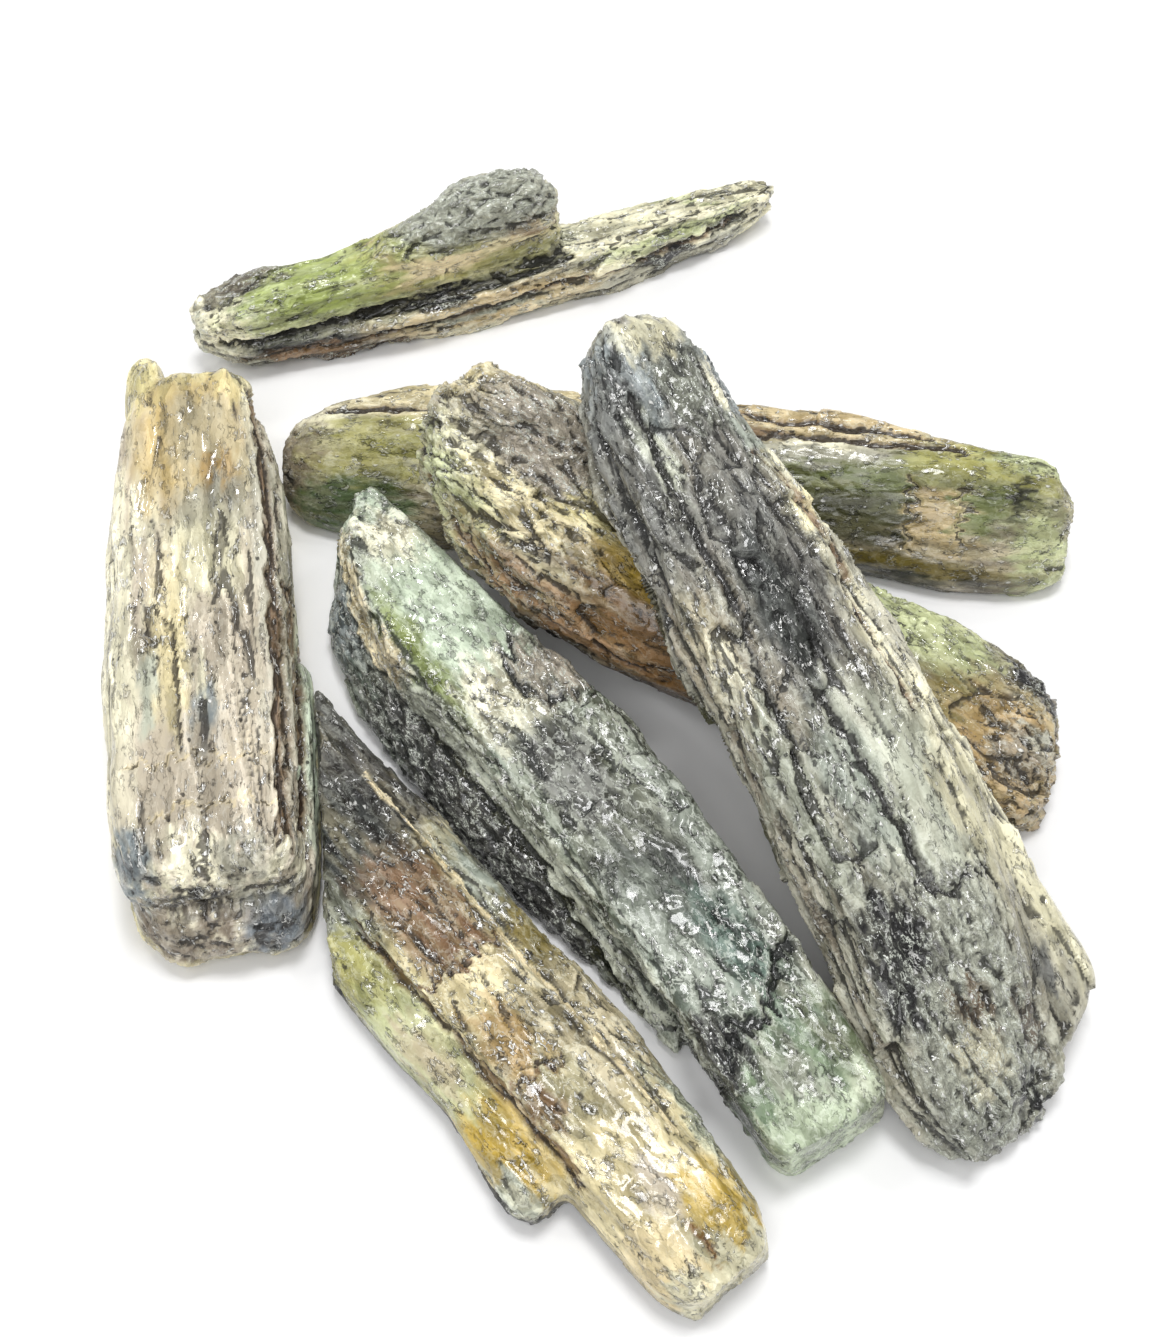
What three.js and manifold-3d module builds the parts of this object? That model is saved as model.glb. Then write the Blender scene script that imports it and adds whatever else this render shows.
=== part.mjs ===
// A loose cluster of seven natural kyanite specimens lying on a flat surface.
//
// Kyanite grows as long flat blades that cleave into stacked slabs, so each specimen is built from
// slabs: a cross-section pushed along the blade's length and fitted at a few stations to its edges.
// Slabs of one specimen grew together, so they are joined into one solid, and corners are broken off.
// Millimetres, +Z up. Blades are drawn along their own +X, with +Y to their left, and are then placed.

import * as THREE from "three";
import { mergeVertices } from "three/addons/utils/BufferGeometryUtils.js";
import Module from "manifold-3d";

const wasm = await Module();
wasm.setup();

const DEGREE = Math.PI / 180;

// Driving dimensions: where each specimen's own zero lies, the way its blade points, and how far it
// tips towards its far end. The two leaning blades rest on the others and touch down at that end.
const PLACES = {
  tan: { at: [-42.2, 30.5, 0], heading: -81, tip: 0 },
  brown: { at: [-25.5, -14, 0], heading: -50, tip: 0 },
  centre: { at: [-21.3, 12.9, 0], heading: -56.6, tip: 0 },
  long: { at: [2.2, 20.5, 24.4], heading: -63, tip: 18.3 },
  under: { at: [-13, 14, 11.5], heading: -31, tip: 12.4 },
  back: { at: [-33.5, 22.3, 0], heading: -5.5, tip: 0 },
  twin: { at: [-41, 43.5, 0], heading: 20.5, tip: 0 },
};
const THICKNESS = { tan: 12.4, brown: 7.2, centre: 11.2, long: 10, under: 12, back: 11.2, twin: 12.5 };

// Cross-sections, as [across, up] with both running from 0 to 1. Across 0 is the blade's right side.
const SLAB = [
  [0.1, 0], [0, 0.2], [0, 0.62], [0.05, 0.88], [0.17, 1],
  [0.83, 1], [0.95, 0.88], [1, 0.62], [1, 0.2], [0.9, 0],
];
const PLATE = [
  [0.06, 0], [0, 0.14], [0.02, 0.5], [0.05, 0.9], [0.1, 1],
  [0.92, 1], [0.96, 0.9], [0.985, 0.5], [1, 0.14], [0.95, 0],
];
const OVERHANG = [
  [0.12, 0], [0.08, 0.12], [0.04, 0.5], [0, 0.86], [0.05, 1],
  [0.92, 1], [0.97, 0.9], [0.99, 0.5], [1, 0.14], [0.95, 0],
];
const SHOULDER = [
  [0.1, 0], [0, 0.2], [0, 0.7], [0.04, 0.92], [0.1, 1],
  [0.64, 1], [0.78, 0.9], [0.94, 0.6], [1, 0.3], [0.92, 0],
];
const LUMP = [
  [0.2, 0], [0.04, 0.18], [0, 0.5], [0.12, 0.82], [0.36, 0.98],
  [0.64, 1], [0.88, 0.84], [1, 0.5], [0.96, 0.18], [0.8, 0],
];
const RIDGE = [
  [0.06, 0], [0, 0.12], [0.02, 0.3], [0.2, 0.62], [0.5, 0.96],
  [0.58, 1], [0.9, 1], [0.98, 0.86], [1, 0.3], [0.94, 0],
];

// A slab: the section extruded, then fitted smoothly to the stations, which are rows of
// [along, right edge, left edge, underside, top]. It never dips below its lowest station.
function slab(section, stations, slicesPerGap = 2) {
  const gaps = stations.length - 1;
  const outline = new THREE.Shape(section.map(([across, up]) => new THREE.Vector2(across, up)));
  const geometry = new THREE.ExtrudeGeometry(outline, {
    depth: gaps,
    steps: gaps * slicesPerGap,
    bevelEnabled: false,
  });
  const fit = new THREE.CubicInterpolant([...stations.keys()], stations.flat(), stations[0].length);
  const lowest = Math.min(...stations.map((row) => row[3]));
  const position = geometry.getAttribute("position");
  for (let i = 0; i < position.count; i++) {
    const [along, right, left, under, top] = fit.evaluate(position.getZ(i));
    const across = right + (left - right) * position.getX(i);
    const up = under + (top - under) * position.getY(i);
    position.setXYZ(i, along, across, Math.max(lowest, up));
  }
  return solid(geometry);
}

// A broken corner: a block with its near face at `point`, facing along `outward`, to be cut away.
function breakAt(point, outward, size = 60) {
  const block = new THREE.BoxGeometry(size, size, size).translate(0, 0, size / 2);
  const turn = new THREE.Quaternion().setFromUnitVectors(
    new THREE.Vector3(0, 0, 1),
    new THREE.Vector3(...outward).normalize(),
  );
  block.applyQuaternion(turn).translate(...point);
  return solid(block);
}

// A closed three.js geometry as a manifold-3d solid, for joining and cutting.
function solid(geometry) {
  const bare = geometry.index ? geometry.toNonIndexed() : geometry.clone();
  bare.deleteAttribute("normal");
  bare.deleteAttribute("uv");
  const merged = mergeVertices(bare, 1e-4);
  return new wasm.Manifold(
    new wasm.Mesh({
      numProp: 3,
      vertProperties: merged.attributes.position.array,
      triVerts: new Uint32Array(merged.index.array),
    }),
  );
}

function joined(...solids) {
  return solids.reduce((whole, next) => whole.add(next));
}

function broken(whole, ...breaks) {
  return breaks.reduce((rest, corner) => rest.subtract(corner), whole);
}

// The tan slab: a thick flat upper blade on a slightly wider lower one, with a horn at its head and a
// thin strip standing out along the left side.
function tanSlab() {
  const top = THICKNESS.tan;
  const upper = slab(SLAB, [
    [0.2, -2.4, 5.4, 4.5, top - 1.2],
    [3.4, -6.4, 7, 3, top - 0.4],
    [13, -8, 8.3, 3, top],
    [25, -8.6, 8.9, 3, top],
    [36, -8.7, 8.9, 3, top + 0.2],
    [46, -8.8, 8.4, 3, top],
    [55, -8.7, 8, 3, top - 0.2],
    [59.5, -7.4, 7.8, 3, top - 1.2],
    [61.2, -5.6, 6.5, 3.5, top - 3],
  ]);
  const lower = slab(SLAB, [
    [1.2, -5, 6.2, 0.6, 4.5],
    [12, -7.9, 8.2, 0, 5],
    [28, -8.7, 8.8, 0, 5.5],
    [45, -8.8, 8.8, 0, 6],
    [57, -8.3, 8.7, 0, 6.8],
    [62, -6.3, 7.8, 0, 7],
    [64, -4.2, 6.2, 1, 5.4],
  ]);
  const strip = slab(SLAB, [
    [33, 5, 8.6, 0.8, 5.6],
    [36, 5, 9.4, 0.5, 6.4],
    [46, 5, 9.4, 0.4, 6.6],
    [57, 5, 8.9, 0.4, 6.4],
    [61.4, 4, 7.9, 0.8, 5.6],
  ]);
  const horn = slab(LUMP, [
    [-4, -5.2, -3.4, 6.6, 9.4],
    [-1.8, -6.6, -2.4, 5.4, 10.8],
    [4, -7.2, -1.6, 4, 11.6],
  ]);
  const rightFootCorner = breakAt([58, -8.6, top - 1], [0.4, -0.7, 0.6]);
  return broken(joined(upper, lower, strip, horn), rightFootCorner);
}

// The stepped brown blade: the lowest of the heap, its head broken off slantwise, with a plate on
// top that leaves a low strip along its left, and a terrace that ends in a knob along its right.
function brownBlade() {
  const top = THICKNESS.brown;
  const base = slab(SLAB, [
    [-14, -7, 5.2, 0, top - 1.6],
    [3, -7.6, 5.4, 0, top - 1.5],
    [14, -8.2, 5.5, 0, top - 1.4],
    [26, -8.2, 5.9, 0, top - 1.4],
    [38, -8, 5.6, 0, top - 1.4],
    [50, -7.9, 4.6, 0, top - 1.2],
    [57, -7.6, 3.2, 0, top - 1],
    [60.2, -6.2, 1.6, 0.8, top - 1.8],
  ]);
  const plate = slab(PLATE, [
    [-14, -6.4, 3.8, 3, top - 0.5],
    [4, -6.8, 2.6, 3, top - 0.3],
    [14, -7.4, 2.2, 3, top],
    [24, -7.6, 2, 3, top],
    [34, -7.4, 2.1, 3, top + 0.1],
    [44, -7.4, 2.3, 3, top],
    [54, -7.2, 2, 3, top - 0.1],
    [58.8, -6.2, 1.2, 3, top - 0.9],
  ]);
  const terrace = slab(SLAB, [
    [2, -9, -5, 0, 5],
    [13, -11, -5, 0, 5.3],
    [28, -11.4, -5, 0, 5],
    [34, -10.9, -5, 0, 4.8],
    [40, -11.8, -6, 0, 4.6],
    [44.4, -12, -6.5, 0.1, 4.4],
    [46.3, -10.8, -7, 0.7, 3.6],
  ]);
  const slantedHead = breakAt([-0.85, 1.1, 0], [-0.54, -0.84, 0]);
  const footCorner = breakAt([60.2, -6.6, 0], [0.8, -0.55, 0.2]);
  return broken(joined(base, plate, terrace), slantedHead, footCorner);
}

// The centre green blade: a tall flat-topped blade with a pointed head, and a lower dark blade that
// stands out along its right side and dies away towards the foot.
function centreBlade() {
  const top = THICKNESS.centre;
  const main = slab(OVERHANG, [
    [-2.8, -0.9, 1.3, 5, top - 1.6],
    [2, -4.4, 2.2, 2, top - 0.3],
    [7, -6.3, 3, 0.4, top],
    [16, -7.8, 4.1, 0, top],
    [24, -7.3, 5.3, 0, top - 0.4],
    [33, -6.1, 7.4, 0, top - 0.9],
    [43, -5.7, 7.9, 0, top - 1.4],
    [52, -5.4, 7.5, 0, top - 1.9],
    [60, -5.4, 7.2, 0, top - 2.5],
    [68, -5.8, 7, 0, top - 3],
    [73.6, -6, 6.4, 0, top - 3.4],
    [75.8, -5, 5.4, 0.7, top - 4.3],
  ]);
  const flank = slab(RIDGE, [
    [-2.2, -3.6, 0, 2.6, 8.2],
    [2.4, -7, -1.5, 0.8, 8.8],
    [7, -10, -2, 0, 8.6],
    [14, -11, -3, 0, 8],
    [22, -11.2, -3, 0, 7.4],
    [30, -11, -3, 0, 6.6],
    [38.4, -9.8, -3, 0, 5.6],
    [46, -8, -3, 0, 4.6],
    [54, -6.6, -3, 0, 3.6],
    [61, -5.6, -3, 0.5, 2.6],
  ]);
  const footEdge = breakAt([75.2, 0, top - 3.5], [0.8, 0, 0.6]);
  const pointedHead = breakAt([-1.4, 1.4, top], [-0.6, 0.5, 0.5]);
  return broken(joined(main, flank), footEdge, pointedHead);
}

// The long blade: the largest, leaning over the others with its foot on the ground. Its left side
// slopes away from the top, and a thin scalloped blade stands out beside the foot.
function longBlade() {
  const top = THICKNESS.long;
  const main = slab(SHOULDER, [
    [1.2, -3, 1.6, 2.6, top - 1.6],
    [3.4, -5.3, 4.6, 0.9, top - 0.5],
    [9, -7.5, 6.8, 0, top - 0.1],
    [16, -8.4, 7.5, 0, top],
    [24, -8.4, 8.4, 0, top],
    [31, -9.2, 9.2, 0, top],
    [40, -9.1, 10.4, 0, top],
    [50, -9.3, 11, 0, top - 0.2],
    [58, -9.6, 10.4, 0, top - 0.6],
    [66, -9.7, 8.4, 0, top - 1.2],
    [72, -9.4, 6.2, 0, top - 2],
    [77, -9, 2.4, 0.1, top - 3.2],
    [80.2, -7.2, -2.4, 1.2, top - 4.8],
  ]);
  const scallops = slab(SLAB, [
    [49, 4, 9.4, 0.4, 4.6],
    [57.5, 3, 11.6, 0.1, 5.4],
    [62, 2, 10.8, 0.1, 5],
    [67, 1, 11.2, 0.1, 4.9],
    [71.6, 0, 11.2, 0.1, 4.7],
    [74.2, -1, 8.9, 0.1, 4.5],
    [75.6, -2, 5.8, 0.2, 4.3],
    [78.2, -4, 3.9, 0.6, 3.9],
    [80.6, -6, 0, 1.3, 3.5],
  ]);
  return joined(main, scallops);
}

// The propped blade: short and thick, its head resting on the back blade by a heel and carrying a
// crest. Its middle is hollowed where the long blade lies across it.
function underBlade() {
  const top = THICKNESS.under;
  const main = slab(SLAB, [
    [-4, -1.4, 5, 2.4, top - 1.2],
    [0, -5.2, 7.8, 0.6, top - 0.4],
    [9, -8.8, 8.4, 0, top - 0.4],
    [18, -9.4, 8.8, 0, top - 1.2],
    [26, -8.9, 9.4, 0, top - 2.1],
    [36, -7.2, 11.2, 0, top - 3.3],
    [46, -5.4, 13.5, 0, top - 3.4],
    [53, -4, 13.6, 0.2, top - 3.5],
    [59, -2.4, 11.4, 1.4, top - 3.8],
    [62.8, -1.2, 8, 2.4, top - 4.8],
    [64.2, 0.8, 5.4, 3.4, top - 6.2],
  ]);
  const crest = slab(LUMP, [
    [-3.4, 0.2, 4.8, 9, top + 0.6],
    [-1, -1.2, 6.4, 8, top + 2.4],
    [4, -0.8, 7.2, 8, top + 2.5],
    [9, 0.4, 7.6, 8, top + 1.1],
    [15, 2, 8, 8, top - 0.9],
  ]);
  const heel = slab(LUMP, [
    [-3.4, 1, 5.4, -0.6, 6],
    [0, 0, 7.2, -2, 6],
    [6, 0, 8, -2.3, 6],
    [13, 2, 8, -0.6, 6],
  ]);
  return joined(main, crest, heel);
}

// The back olive blade: a long bar with a sloped near face under a flat layered strip.
function backBlade() {
  const top = THICKNESS.back;
  const bar = slab(RIDGE, [
    [1.6, -1.6, 2.8, 2.4, top - 4.6],
    [4.4, -4.4, 4.9, 0.5, top - 2],
    [9, -5.4, 6.8, 0, top - 0.6],
    [18, -6, 9, 0, top - 0.1],
    [35, -6, 9, 0, top],
    [50, -5.3, 8.8, 0, top],
    [60, -5.3, 8.4, 0, top],
    [68, -6.3, 7, 0, top - 0.2],
    [76.5, -6.9, 5.6, 0, top - 0.7],
    [81, -5.8, 4.7, 0.3, top - 1.5],
    [83, -3.8, 2.8, 1.4, top - 3.6],
  ]);
  const hollow = breakAt([64, -6.2, 7.6], [-0.15, -0.8, 0.58]);
  return broken(bar, hollow);
}

// The twin blade: a long low blade with a shorter one grown on top, which carries a lump of mica.
function twinBlade() {
  const top = THICKNESS.twin;
  const lower = slab(SLAB, [
    [1.5, -3.2, 2, 0.6, 4.4],
    [10, -5, 2.6, 0, 5.4],
    [20, -6.2, 2.2, 0, 6],
    [30, -6.5, 1.8, 0, 6.4],
    [40, -6.1, 1, 0, 6.8],
    [50, -5.4, 0.8, 0, 6.8],
    [58, -4.2, 0.7, 0.3, 6.7],
    [64, -2.5, 0.8, 0.9, 6.4],
    [66.8, -1, 0.8, 2.2, 5.4],
  ]);
  const upper = slab(SLAB, [
    [-2.6, -1.8, 1, 3, top - 5.4],
    [1.6, -4.8, 2.6, 1.6, top - 3],
    [6, -5.2, 2.8, 1.4, top - 2.2],
    [12, -5.2, 2.4, 1.6, top - 2.4],
    [20, -4.6, 3.2, 2, top - 1.6],
    [30, -4.4, 4, 2.4, top - 0.4],
    [37, -3.7, 3.2, 2.8, top],
    [39.4, -2.9, 2, 4, top - 1],
  ]);
  const micaLump = slab(LUMP, [
    [18, -3.4, 0.8, 8.6, 11.2],
    [23, -4.6, 1.4, 8, 13.6],
    [28, -5, 2, 8, 16.2],
    [33, -4.9, 2.2, 8, 17.2],
    [37.2, -4.2, 1, 8, 16],
    [39.2, -3.2, 0, 9, 13.4],
  ]);
  return joined(lower, upper, micaLump);
}

// A specimen as a named mesh, laid where its place says.
function specimen(name, shape, place, colour, roughness) {
  const { vertProperties, triVerts } = shape.getMesh();
  const geometry = new THREE.BufferGeometry();
  geometry.setAttribute("position", new THREE.BufferAttribute(vertProperties, 3));
  geometry.setIndex(new THREE.BufferAttribute(triVerts, 1));
  geometry.computeVertexNormals();
  const stone = new THREE.MeshStandardMaterial({ color: colour, roughness, metalness: 0 });
  const mesh = new THREE.Mesh(geometry, stone);
  mesh.name = name;
  mesh.position.set(...place.at);
  mesh.rotation.set(0, place.tip * DEGREE, place.heading * DEGREE, "ZYX");
  return mesh;
}

const cluster = new THREE.Group();
cluster.add(
  specimen("tan_slab", tanSlab(), PLACES.tan, "#b3a284", 0.42),
  specimen("stepped_brown_blade", brownBlade(), PLACES.brown, "#a08c68", 0.4),
  specimen("centre_green_blade", centreBlade(), PLACES.centre, "#8f9d8c", 0.38),
  specimen("long_leaning_blade", longBlade(), PLACES.long, "#8a8a84", 0.36),
  specimen("propped_brown_blade", underBlade(), PLACES.under, "#8d8064", 0.44),
  specimen("back_olive_blade", backBlade(), PLACES.back, "#7f8463", 0.4),
  specimen("twin_mica_blade", twinBlade(), PLACES.twin, "#8a9068", 0.42),
);

// The cluster's zero is the middle of the bottom of its box.
cluster.updateMatrixWorld(true);
const box = new THREE.Box3().setFromObject(cluster, true);
const middle = box.getCenter(new THREE.Vector3());
cluster.position.set(-middle.x, -middle.y, -box.min.z);

export default cluster;
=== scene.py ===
# %% [markdown]
# # A loose cluster of kyanite blades
#
# Kyanite is a mineral that grows as long flat blades. These seven were broken from their rock and
# tumbled, so they are frosted, a little glossy and full of splinters. The CAD model says where each
# one lies and how big it is. This lesson turns each plain solid into stone: a fine skin is grown
# over it, the skin is pushed in and out like cleaved rock, colours are laid on in the blade's own
# millimetres, and one family of node materials adds what is finer than the skin.

# %% Load the frame
import itertools
import math
from types import SimpleNamespace

import bmesh
import bpy
import numpy as np
from mathutils import Euler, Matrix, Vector


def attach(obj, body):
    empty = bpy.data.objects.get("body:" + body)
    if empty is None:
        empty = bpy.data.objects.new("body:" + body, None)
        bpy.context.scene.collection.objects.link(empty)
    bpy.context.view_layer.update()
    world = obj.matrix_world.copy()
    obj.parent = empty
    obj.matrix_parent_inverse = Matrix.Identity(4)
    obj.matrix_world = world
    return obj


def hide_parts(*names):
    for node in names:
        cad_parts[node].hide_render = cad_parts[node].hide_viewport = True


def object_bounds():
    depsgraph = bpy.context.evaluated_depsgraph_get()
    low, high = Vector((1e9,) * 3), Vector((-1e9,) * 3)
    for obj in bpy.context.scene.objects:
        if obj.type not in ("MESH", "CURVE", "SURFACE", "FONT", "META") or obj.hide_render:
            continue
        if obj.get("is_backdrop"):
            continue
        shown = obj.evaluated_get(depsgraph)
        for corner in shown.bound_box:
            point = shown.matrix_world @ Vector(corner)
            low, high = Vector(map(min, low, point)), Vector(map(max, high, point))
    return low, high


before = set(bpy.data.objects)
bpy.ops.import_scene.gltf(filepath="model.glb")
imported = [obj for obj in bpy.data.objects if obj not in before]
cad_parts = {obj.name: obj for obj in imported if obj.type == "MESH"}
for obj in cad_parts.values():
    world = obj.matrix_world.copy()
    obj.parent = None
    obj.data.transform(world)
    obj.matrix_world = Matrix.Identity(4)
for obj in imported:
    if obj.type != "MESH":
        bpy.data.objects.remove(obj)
cad_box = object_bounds()
MM = 0.001
print("specimens:", ", ".join(sorted(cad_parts)))

# %% [markdown]
# ## Camera
#
# The cluster is small, so the camera stands close, looking down at a steep slant. A near camera
# shows the ends towards it larger than the far ones. Placing it by a distance, a height angle and
# a point to aim at is easier to reason about than typing its rotation.

# %% Camera
AIM = Vector((-0.2, -1.8, 0)) * MM
DISTANCE = 181 * MM
LOOKING_DOWN = math.radians(55)
LENS = 48.73

lens = bpy.data.cameras.new("lens")
lens.lens = LENS
lens.clip_start = 0.01
camera = bpy.data.objects.new("camera", lens)
bpy.context.collection.objects.link(camera)
away = Vector((0, -math.cos(LOOKING_DOWN), math.sin(LOOKING_DOWN)))
camera.location = AIM + away * DISTANCE
camera.rotation_euler = away.to_track_quat("Z", "Y").to_euler()
bpy.context.scene.camera = camera
print("camera stands at", [round(x, 3) for x in camera.location])

# %% [markdown]
# ## Floor and light
#
# Small stones are usually shown on a plain white sheet in soft light. A bright even world gives the
# open look. A lamp almost straight above lights the tops and lets the gaps between the stones go
# grey. A wide weak one on the viewer's side clears the near faces, and three small ones around the
# heap put a glint on every splinter.

# %% Floor and light
FLOOR_HALF = 1.5
WORLD_STRENGTH = 0.44
LAMPS = {
    "overhead": {"at": (0.02, 0.06, 0.50), "size": 0.14, "watts": 1.15},
    "front_fill": {"at": (-0.04, -0.30, 0.44), "size": 0.3, "watts": 0.85},
    "right_glint": {"at": (0.24, 0.14, 0.38), "size": 0.035, "watts": 0.16},
    "back_glint": {"at": (-0.06, 0.30, 0.34), "size": 0.035, "watts": 0.16},
    "left_glint": {"at": (-0.34, 0.02, 0.32), "size": 0.035, "watts": 0.16},
}

shape = bmesh.new()
bmesh.ops.create_grid(shape, x_segments=1, y_segments=1, size=FLOOR_HALF)
floor_mesh = bpy.data.meshes.new("floor")
shape.to_mesh(floor_mesh)
shape.free()
floor = bpy.data.objects.new("floor", floor_mesh)
bpy.context.collection.objects.link(floor)
floor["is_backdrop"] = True
paper = bpy.data.materials.new("white_paper")
paper.use_nodes = True
paper_shader = paper.node_tree.nodes["Principled BSDF"]
paper_shader.inputs["Base Color"].default_value = (0.93, 0.93, 0.935, 1)
paper_shader.inputs["Roughness"].default_value = 0.9
floor_mesh.materials.append(paper)

world = bpy.data.worlds.new("studio")
world.use_nodes = True
world.node_tree.nodes["Background"].inputs["Color"].default_value = (1, 1, 1, 1)
world.node_tree.nodes["Background"].inputs["Strength"].default_value = WORLD_STRENGTH
bpy.context.scene.world = world
bpy.context.scene.view_settings.view_transform = "Standard"

for name, lamp in LAMPS.items():
    light = bpy.data.lights.new(name, "AREA")
    light.energy = lamp["watts"]
    light.size = lamp["size"]
    holder = bpy.data.objects.new(name, light)
    holder.location = lamp["at"]
    holder.rotation_euler = Vector(lamp["at"]).to_track_quat("Z", "Y").to_euler()
    bpy.context.collection.objects.link(holder)
print("lamps:", ", ".join(LAMPS))

# %% [markdown]
# ## Each blade's own millimetres
#
# A kyanite blade has a grain, as wood has: splinters, layers and colours all run lengthwise. So
# every pattern is written in the blade's own frame. u runs along it from its head, v runs across
# it (0 is the middle) and w rises from its underside. The CAD solid is only turned by a heading
# and, for the two leaning blades, tipped, so turning its points back gives that frame.

# %% Blade frames
HEADINGS = {
    "tan_slab": (-81, 0),
    "stepped_brown_blade": (-50, 0),
    "centre_green_blade": (-56.6, 0),
    "long_leaning_blade": (-63, 18.3),
    "propped_brown_blade": (-31, 12.4),
    "back_olive_blade": (-5.5, 0),
    "twin_mica_blade": (20.5, 0),
}


def blade_frame(name):
    """The blade's turn as a matrix, and its zero point in the room, in millimetres."""
    heading, tip = (math.radians(angle) for angle in HEADINGS[name])
    turn = np.array(Euler((0, tip, heading)).to_matrix())
    points = np.array([v.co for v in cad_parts[name].data.vertices]) / MM @ turn
    low, high = points.min(axis=0), points.max(axis=0)
    zero = np.array([low[0], (low[1] + high[1]) / 2, low[2]])
    return turn, turn @ zero, high - low


for name in HEADINGS:
    print(name, "is", [round(float(x), 1) for x in blade_frame(name)[2]], "mm")

# %% [markdown]
# ## Noise, by hand
#
# Rock looks like rock because its roughness comes in many sizes. Two repeatable noises are enough:
# `ripple` is a smooth wave with no direction, and `shards` splits space into cells, as a cracked
# face splits into flakes. Dividing the points by a long-thin size stretches either along the grain.

# %% Smooth noise
DICE = np.random.default_rng(11)
SHUFFLE = DICE.permutation(256)
SLOPES = DICE.normal(size=(256, 3))
SLOPES /= np.linalg.norm(SLOPES, axis=1, keepdims=True)
MIDDLES = DICE.random((256, 3))
LUCK = DICE.random(256)
CORNERS = np.array(list(itertools.product((0, 1), repeat=3)))
NEIGHBOURS = np.array(list(itertools.product((-1, 0, 1), repeat=3)))


def lot(cells, seed):
    """A repeatable number from 0 to 255 for each whole-numbered cell."""
    x, y, z = ((cells + seed * 37) & 255).T
    return SHUFFLE[(SHUFFLE[(SHUFFLE[x] + y) & 255] + z) & 255]


def ripple(points, seed=0):
    """Smooth noise, mostly from -1 to 1, that changes over a distance of 1."""
    base = np.floor(points).astype(int)
    part = points - base
    ease = part**3 * (part * (part * 6 - 15) + 10)
    total = np.zeros(len(points))
    for corner in CORNERS:
        pull = np.prod(np.where(corner, ease, 1 - ease), axis=1)
        slope = SLOPES[lot(base + corner, seed)]
        total += pull * np.einsum("ij,ij->i", slope, part - corner)
    return total * 1.7


def fractal(points, octaves, seed=0):
    """Noise on noise: each octave is twice as fine and half as strong."""
    waves = (ripple(points * 2**k, seed + k) / 2**k for k in range(octaves))
    return sum(waves)


walk = np.linspace(0, 40, 500)[:, None] * (1.0, 0.7, 0.3)
print("four octaves run from", fractal(walk, 4).min().round(2), "to", fractal(walk, 4).max().round(2))


# %% Cell noise
def shards(points, seed=0):
    """The distance to the nearest cell's middle, that cell's number, and the way to its middle."""
    base = np.floor(points).astype(int)
    part = points - base
    nearest = np.full(len(points), 9.0)
    number = np.zeros(len(points), int)
    way = np.zeros_like(points)
    for step in NEIGHBOURS:
        drawn = lot(base + step, seed)
        apart = part - step - MIDDLES[drawn]
        squared = np.einsum("ij,ij->i", apart, apart)
        closer = squared < nearest
        nearest[closer] = squared[closer]
        number[closer] = drawn[closer]
        way[closer] = apart[closer]
    return np.sqrt(nearest), number, way


def ramp(values, low, high):
    """0 below low, 1 above high, and a smooth step between."""
    t = np.clip((values - low) / (high - low), 0, 1)
    return t * t * (3 - 2 * t)


sample = fractal(DICE.random((2000, 3)) * 50, 3)
print("noise runs from", round(float(sample.min()), 2), "to", round(float(sample.max()), 2))

# %% [markdown]
# ## Colours
#
# One blade can be cream at its head, honey behind it and slate at its foot, because its iron,
# chromium and titanium changed as it grew, and because black mica grew into it. A named palette
# keeps the seven in one family. The values are what the eye sees, so they are turned into linear
# light before use.

# %% Palette
PALETTE = {
    "soot": "#0f0e0f",
    "bog_green": "#26270f",
    "char": "#2b2e2b",
    "black_olive": "#404025",
    "dark_grey": "#4d4b47",
    "deep_green": "#4c5c3b",
    "umber": "#70573a",
    "iron_grey": "#61615d",
    "brown": "#7c6148",
    "grey_brown": "#766b5c",
    "drab": "#7c7044",
    "rust": "#91704c",
    "grey_green": "#6e7d6f",
    "taupe": "#867d6d",
    "leaf_green": "#7d8851",
    "pewter": "#848a7f",
    "lichen": "#8e9182",
    "blue_grey": "#868e90",
    "khaki": "#9f9879",
    "olive": "#a4a167",
    "tan": "#b49b71",
    "ash": "#a3a090",
    "bright_green": "#a4b06e",
    "sand": "#baa780",
    "amber": "#c6ac63",
    "oat": "#bbb195",
    "silver": "#b9bcab",
    "honey": "#d2bc8b",
    "pale_green": "#bec498",
    "mint": "#c2ceb8",
    "straw": "#d7cba4",
    "bone": "#dbd6b9",
    "cream": "#ecdcb5",
    "ivory": "#ede8ce",
    "frost": "#dde2d6",
    "pale_yellow": "#f2e8b4",
    "teal": "#5d6f66",
    "moss": "#6b7348",
    "jade": "#75876a",
    "celadon": "#bbc6ac",
    "slate": "#757b80",
    "mauve": "#bfb5a3",
}


def linear(colour):
    """A palette colour as linear red, green and blue."""
    code = PALETTE[colour].lstrip("#")
    seen = np.array([int(code[i : i + 2], 16) / 255 for i in (0, 2, 4)])
    return np.where(seen > 0.04045, ((seen + 0.055) / 1.055) ** 2.4, seen / 12.92)


print(len(PALETTE), "colours")

# %% [markdown]
# ## What each blade is like
#
# `ground` is the colour that shows where nothing else does, streaked with a second one. The
# patches lie on it in order: a colour, its stretch along u, across v and, where it doesn't go right
# through the blade, up w. `mica` patches also crumple the skin, and in `calm` boxes the stone is
# clear and smoother. `cracks` are grooves: a colour, a width, a depth (below zero it is a rib) and
# a line drawn on the top (v) or the side (w) of the blade. In `skin`, `long` is how much its marks
# are stretched along the grain, and the other numbers are heights in millimetres.

# %% Tan slab
ANY = (-99, 99)
STONES = {}


def announce(name):
    stone = STONES[name]
    print(name, "has", len(stone["patches"]), "patches and", len(stone["cracks"]), "cracks")


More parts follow.
